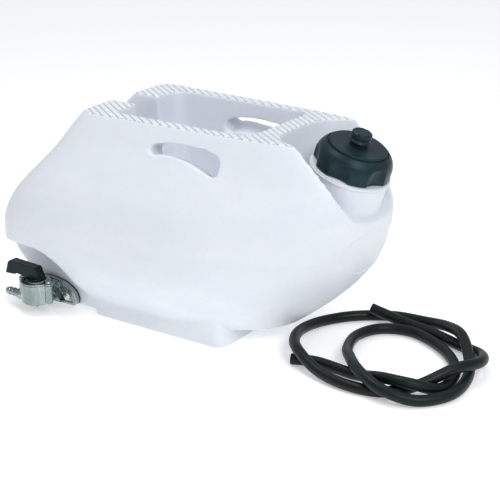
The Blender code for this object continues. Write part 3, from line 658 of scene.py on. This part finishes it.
def tank_skin():
    form = body_form(0)
    cut(form, *hand_holes(smooth_rows(HAND_HOLE, 6, closed=True)))
    reskinned(form, SKIN_VOXEL, 10)
    points = coordinates(form.data)
    points[:, 2] = np.clip(points[:, 2], 0, DECK_Z)
    dent_oval(points)
    set_coordinates(form.data, points)
    return form


def tank():
    made = tank_skin()
    made.name = "tank"
    refine_deck(made)
    emboss_tread(made)
    inside = body_form(WALL)
    tap_pad = box("tap_pad", (TAP_X - 42, TAP_WALL_Y, 0), (TAP_X + 42, TAP_WALL_Y + INSERT_LENGTH + 4, 42))
    cut(inside, *rail_cores(), tap_pad)
    reskinned(inside, CAVITY_VOXEL, 4)
    crest = NECK_R + 1.4
    neck = turned("neck", ((NECK_BORE_R - 1, -12), (SHOULDER_R - 2, -12), (SHOULDER_R - 0.5, -COLLAR_T - 4),
                           (SHOULDER_R + 0.4, -COLLAR_T - 1.6), (COLLAR_R - 0.6, -COLLAR_T),
                           (COLLAR_R, -COLLAR_T + 0.6), (COLLAR_R - 0.2, -1.7), (COLLAR_R - 1.2, -1.3),
                           (COLLAR_R - 1.2, -1.0), (COLLAR_R - 0.6, -0.7), (COLLAR_R - 0.7, -0.1),
                           (COLLAR_R - 1.4, 0), (NECK_R, 0), (NECK_R, 4), (crest, 5), (NECK_R, 6),
                           (NECK_R, 10), (crest, 11), (NECK_R, 12), (NECK_R, NECK_TOP - 0.8),
                           (NECK_R - 0.8, NECK_TOP), (NECK_BORE_R - 1, NECK_TOP)), NECK, 160)
    wall = -TAP_WALL_Y
    seat = box("seat", (TAP_X - 40, -130, 5), (TAP_X + 40, TAP_WALL_Y - GAP, 36))
    port = cylinder("port", PORT_R, wall - 40, wall + 10,
                    Matrix.Translation((TAP_X, 0, PORT_Z)) @ OUT_OF_WALL)
    cut(made, inside, solver="MANIFOLD")
    joined(made, neck, solver="MANIFOLD")
    cut(made, cylinder("bore", NECK_BORE_R, -40, 40, NECK, 160), seat, port, solver="MANIFOLD")
    for side in (-1, 1):
        hole = Matrix.Translation((TAP_X + side * BOLT_OFFSET, 0, BOLT_Z)) @ OUT_OF_WALL
        cut(made, cylinder("insert_hole", INSERT_R + GAP, wall - INSERT_LENGTH - GAP, wall + 10, hole, 32),
            solver="MANIFOLD")
    return finished(made, "tank", TANK, ["tank_shell"], 40)


# ---- cap -------------------------------------------------------------------------------------------
def cap():
    """A vented screw cap: a domed skirt with six finger scallops under a flat, ringed disc."""
    made = turned("cap", ((CAP_BORE_R, CAP_BOTTOM), (CAP_R, CAP_BOTTOM), (CAP_R, 11), (CAP_R - 0.5, 14),
                          (CAP_R - 1.8, 17.4), (CAP_R - 3.8, 20.4), (CAP_R - 6.2, 22.8),
                          (CAP_DISC_R + 1.6, 24.0), (CAP_DISC_R + 1.1, 22.5), (CAP_DISC_R - 0.4, 22.5),
                          (CAP_DISC_R - 0.7, CAP_TOP - 0.5), (CAP_DISC_R - 1.3, CAP_TOP),
                          (VENT_STEM_R + GAP, CAP_TOP), (VENT_STEM_R + GAP, CAP_CEILING),
                          (CAP_BORE_R, CAP_CEILING)), NECK, 160)
    for i in range(SCALLOPS):
        angle = SCALLOP_FIRST + 2 * math.pi * i / SCALLOPS
        middle = NECK @ Matrix.Rotation(angle, 4, "Z") @ Matrix.Translation((SCALLOP_OFFSET, 0, 0))
        clear = SCALLOP_OFFSET - CAP_R - 0.1
        arch = [(clear + (SCALLOP_R - clear) * math.cos(a), SCALLOP_TOP + SCALLOP_ARCH * (math.sin(a) - 1))
                for a in (math.pi / 2 * step / 12 for step in range(13))]
        cut(made, turned("scallop", [(0, -5), (SCALLOP_R, -5)] + arch + [(0, SCALLOP_TOP)], middle, 96),
            solver="MANIFOLD")
    reskinned(made, 0.5, 3)
    return finished(made, "cap", CAP_PLASTIC, ["cap_shell"], 60)


def vent_knob():
    """The two-step vent knob, with a notched rim."""
    bore = VENT_STEM_R + GAP
    made = turned("vent_knob_shell", ((0, 38.3), (5.3, 38.3), (5.3, 36.3), (bore, 36.3), (bore, KNOB_BOTTOM),
                                      (KNOB_R + 1.0, KNOB_BOTTOM), (KNOB_R + 0.6, 31.4), (KNOB_R - 0.5, 32.6),
                                      (KNOB_R - 0.6, 34.6), (KNOB_R + 0.1, 35.2),
                                      (KNOB_R + 0.1, KNOB_TOP - 1.2),
                                      (KNOB_R - 1.2, KNOB_TOP), (KNOB_R - 2.6, KNOB_TOP),
                                      (KNOB_R - 3.0, KNOB_TOP - 0.5), (0, KNOB_TOP - 0.5)), NECK, 96)
    for i in range(2):
        turn = NECK @ Matrix.Rotation(SCALLOP_FIRST + math.pi * i, 4, "Z")
        cut(made, box("notch", (KNOB_R - 1.6, -1.2, 37.0), (KNOB_R + 3, 1.2, KNOB_TOP + 2), turn),
            solver="MANIFOLD")
    reskinned(made, 0.3, 2)
    return finished(made, "vent_knob", CAP_PLASTIC, ["vent_knob"], 60)


# ---- tap -------------------------------------------------------------------------------------------
def at_tap(x, z):
    """A frame on the tap wall whose Z runs out of the wall, over a point x beside the tap's axis."""
    return Matrix.Translation((TAP_X + x, 0, z)) @ OUT_OF_WALL


def flange_outline(inset=0.0):
    """A flat-bottomed oval, anticlockwise, about the tap's axis."""
    rise = FLANGE_HIGH - FLANGE_WAIST - inset
    half = FLANGE_HALF_LENGTH - inset
    low = FLANGE_LOW + inset
    arc = [(half * math.cos(a), FLANGE_WAIST + rise * math.sin(a))
           for a in (math.pi * i / 48 for i in range(49))]
    return arc + [(-half + 0.6, low + 3), (-half + 4, low), (half - 4, low), (half - 0.6, low + 3)]


def tap_casting():
    """Cup, neck and a rimmed flange in one casting, its edges softened as cast; the bores stay crisp."""
    body = turned("tap_casting", ((0, CUP_BOTTOM), (CUP_R - 2.0, CUP_BOTTOM), (CUP_R, CUP_BOTTOM + 2.0),
                                  (CUP_R, CUP_TOP), (0, CUP_TOP)), TAP, 96)
    for side in (-1, 1):
        post = Matrix.Translation((TAP_X + side * EAR_OFFSET, TAP_Y, 0))
        joined(body, cylinder("post", EAR_R, CUP_BOTTOM + 2, CUP_TOP, post, 48))
    joined(body, prism("neck", rounded_box((-12, 11), (12, 31), 3, 6),
                       FLANGE_FRONT - 1.5, -TAP_Y, at_tap(0, 0)))
    flange = prism("flange", flange_outline(), FLANGE_BACK, FLANGE_FRONT, at_tap(0, 0))
    cut(flange, prism("field", flange_outline(2.6), FLANGE_FRONT - 1.6, FLANGE_FRONT + 5, at_tap(0, 0)))
    for side in (-1, 1):
        spot = at_tap(side * BOLT_OFFSET, BOLT_Z)
        joined(flange, cylinder("bolt_boss", 6.4, FLANGE_BACK + 1, FLANGE_FRONT, spot, 48))
        gusset = prism("gusset", ((0, 11.5), (side * 11.5, 11.5), (0, 24)), FLANGE_FRONT - 2,
                       FLANGE_FRONT + 9, at_tap(side * 11, 0))
        joined(flange, gusset)
    joined(body, flange)
    outlet = Matrix.Translation((TAP_X, TAP_Y, BARB_Z)) @ Matrix.Rotation(-math.pi / 2, 4, "Y")
    joined(body, cylinder("outlet_boss", BARB_R + 1.6, 10, 22.4, outlet, 48))
    drain = Matrix.Translation((TAP_X - 3.0, TAP_Y, 0))
    joined(body, cylinder("drain_boss", 6.0, 9.5, CUP_BOTTOM + 2, drain, 48))
    reskinned(body, 0.4, 3)
    cut(body, cylinder("hollow", CUP_BORE_R, CUP_FLOOR, CUP_TOP + 5, TAP, 96),
        cylinder("face", 30, CUP_TOP - 0.1, CUP_TOP + 9, TAP, 96),
        cylinder("inlet", PORT_R - 1, FLANGE_BACK - 5, -TAP_Y, at_tap(0, PORT_Z), 48),
        turned("outlet", ((0, 5), (BARB_BORE_R, 5), (BARB_BORE_R, 12.5), (4.3, 12.5), (4.3, 30), (0, 30)),
               outlet, 48),
        cylinder("outlet_port", BARB_BORE_R - 0.1, BARB_Z + 0.7, CUP_FLOOR + 3,
                 Matrix.Translation((TAP_X - 6.5, TAP_Y, 0)), 32),
        cylinder("drain_hole", 2.5, 6.5, BARB_Z - 0.9, drain, 32), solver="MANIFOLD")
    for side in (-1, 1):
        cut(body, cylinder("bolt_hole", BOLT_R + 0.5, FLANGE_BACK - 5, FLANGE_FRONT + 1,
                           at_tap(side * BOLT_OFFSET, BOLT_Z), 32), solver="MANIFOLD")
        post = Matrix.Translation((TAP_X + side * EAR_OFFSET, TAP_Y, 0))
        cut(body, cylinder("screw_hole", 1.7, 25, CUP_TOP + 2, post, 32), solver="MANIFOLD")
    return finished(body, "tank", CAST, ["tap_body"], 45)


def hose_barb():
    frame_out = Matrix.Translation((TAP_X, TAP_Y, BARB_Z)) @ Matrix.Rotation(-math.pi / 2, 4, "Y")
    profile = [(BARB_BORE_R, 14.5), (4, 14.5), (4, 22.7), (5.1, 22.7), (5.4, 23.0), (5.4, 24.1), (5.1, 24.4),
               (3.7, 24.6)]
    for start in (25.4, 30.4, 35.4):
        profile += [(3.7, start), (BARB_R - 0.2, start + 0.5), (BARB_R, start + 0.9),
                    (BARB_R - 0.15, start + 1.5),
                    (3.75, start + 4.2)]
    profile += [(3.6, 40.4), (3.2, 41), (BARB_BORE_R, 41)]
    return finished(turned("outlet_barb", profile, frame_out, 72), "tank", CAST,
                    ["hose_barb"], 40)


def retaining_plate():
    """A pressed ring with a raised rim, held at two ears."""
    low, high = CUP_TOP + GAP, CUP_TOP + GAP + PLATE_T
    plate = turned("cover_ring", ((9, low), (CUP_R, low), (CUP_R, high - 0.3), (CUP_R - 0.3, high),
                                  (CUP_R - 1.2, high), (CUP_R - 1.7, high - 0.4), (CUP_R - 2.2, low + 0.5),
                                  (9, low + 0.5)), TAP, 96)
    for side in (-1, 1):
        ear = Matrix.Translation((TAP_X + side * EAR_OFFSET, TAP_Y, 0))
        pad = turned("ear", ((0, low), (EAR_R, low), (EAR_R, high - 0.3), (EAR_R - 0.3, high), (0, high)),
                     ear, 48)
        joined(plate, pad)
        cut(plate, cylinder("ear_hole", 1.7, low - 5, high + 5, ear, 32))
    cut(plate, cylinder("middle", 13.6, low + 0.5, high + 5, TAP, 96),
        cylinder("bore", 9, low - 5, high + 5, TAP, 96))
    return finished(plate, "tank", CAST, ["retaining_plate"], 40)


def slotted(screw, matrix, depth_from, depth_to, radius, turn, crossed=False):
    """Cut a driver slot, or a cross, into a screw's head."""
    for quarter in range(2 if crossed else 1):
        spin = matrix @ Matrix.Rotation(turn + quarter * math.pi / 2, 4, "Z")
        reach = radius * (0.62 if crossed else 1.2)
        cut(screw, box("slot", (-reach, -0.45, depth_from), (reach, 0.45, depth_to), spin), solver="MANIFOLD")
    return screw


def fixings():
    """The screws on the tap: two on its cover and two in its flange."""
    under = CUP_TOP + 2 * GAP + PLATE_T
    flange_under = FLANGE_FRONT + 1.3 + GAP
    for side, word in ((-1, "rear"), (1, "front")):
        ear = Matrix.Translation((TAP_X + side * EAR_OFFSET, TAP_Y, 0))
        screw = turned("cover_screw_" + word, ((0, 26), (1.4, 26), (1.4, under), (2.7, under),
                                               (2.9, under + 0.3),
                                               (2.8, under + 1.1), (2.2, under + 1.7), (1.2, under + 2),
                                               (0, under + 2)), ear, 48)
        slotted(screw, ear, under + 1.0, under + 4, 2.9, 0.5 * side, crossed=True)
        finished(screw, "tank", STEEL, ["retaining_screw_" + word], 40)
        spot = at_tap(side * BOLT_OFFSET, BOLT_Z)
        bolt = turned("flange_bolt_" + word, ((0, -TAP_WALL_Y - INSERT_LENGTH + 1),
                                              (BOLT_R, -TAP_WALL_Y - INSERT_LENGTH + 1),
                                              (BOLT_R, flange_under),
                                              (BOLT_HEAD_R - 0.2, flange_under),
                                              (BOLT_HEAD_R, flange_under + 0.3),
                                              (BOLT_HEAD_R, flange_under + 1.8), (3.4, flange_under + 2.8),
                                              (1.6, flange_under + 3.2), (0, flange_under + 3.2)), spot, 64)
        slotted(bolt, spot, flange_under + 1.8, flange_under + 6, BOLT_HEAD_R, 0.9)
        finished(bolt, "tank", STEEL, ["flange_screw_" + word], 40)


def tap_lever():
    """A deep black lever standing on the rotor's stem, over the outlet when the tap is open."""
    low = CUP_TOP + 2 * GAP + PLATE_T + 0.2
    hub = cylinder("lever", 10.0, low, low + 3, TAP, 64)
    side_view = ((-37.5, low + 1.6), (-34, 50.5), (-31, 53), (3.5, 51.5), (5.5, 50), (11, low + 0.8),
                 (-10.5, low + 0.8), (-13.5, low + 3.2), (-22.5, low + 3.8), (-24.5, low + 2.4),
                 (-30, low + 1.8))
    joined(hub, prism("arm", side_view, -5.2, 5.2, Matrix.Translation((TAP_X, TAP_Y, 0)) @ OUT_OF_WALL))
    reskinned(hub, 0.35, 2)
    cut(hub, turned("screw_well", ((0, low - 3), (1.8, low - 3), (1.8, 46), (3.6, 46), (3.6, 49), (0, 49)),
                    TAP, 48), solver="MANIFOLD")
    return finished(hub, "tap_rotor", LEVER_PLASTIC, ["tap_lever"], 45)


tank()
cap()
vent_knob()
tap_casting()
hose_barb()
retaining_plate()
fixings()
tap_lever()


# ---- CAD nodes that keep their own shape -----------------------------------------------------------
for subpart in frame["record"]["subparts"]:
    node = frame["nodes"][subpart["node"]]
    if node.hide_render:
        continue
    node.data.materials.clear()
    node.data.materials.append(SLOT_MATERIALS[subpart["material_slot"]])


# ---- floor and light -------------------------------------------------------------------------------
def floor():
    made = Finish("floor", 0.6)
    made.colour(made.mixed(made.noise(3, 3.0), (0.93, 0.93, 0.93), (0.95, 0.95, 0.95)))
    made.shader.inputs["Emission Color"].default_value = (1.0, 1.0, 1.0, 1.0)
    made.shader.inputs["Emission Strength"].default_value = 0.36
    mesh = bpy.data.meshes.new("floor")
    half = 6.0
    corners = [(-half, -half, 0), (half, -half, 0), (half, half, 0), (-half, half, 0)]
    mesh.from_pydata(corners, [], [(0, 1, 2, 3)])
    mesh.materials.append(made.material)
    plane = bpy.data.objects.new("floor", mesh)
    bpy.context.scene.collection.objects.link(plane)


def lamp(name, place, target, side, power, colour=(1, 1, 1)):
    data = bpy.data.lights.new(name, "AREA")
    data.shape = "SQUARE"
    data.size = side
    data.energy = power
    data.color = colour
    made = bpy.data.objects.new(name, data)
    made.location = place
    made.rotation_euler = (Vector(target) - Vector(place)).to_track_quat("-Z", "Y").to_euler()
    bpy.context.scene.collection.objects.link(made)


def studio():
    world = bpy.data.worlds.new("studio")
    world.use_nodes = True
    world.node_tree.nodes["Background"].inputs["Color"].default_value = (0.95, 0.97, 1.0, 1.0)
    world.node_tree.nodes["Background"].inputs["Strength"].default_value = 0.5
    bpy.context.scene.world = world
    bpy.context.scene.view_settings.view_transform = "Standard"
    middle = (0.05, 0.0, 0.08)
    lamp("key", (1.5, -0.85, 1.5), middle, 0.8, 17)
    lamp("top", (-0.1, 0.3, 1.8), middle, 1.6, 5)
    lamp("well", (-0.06, -0.16, 0.95), (-0.06, 0.03, 0.16), 0.25, 1.7)


floor()
studio()
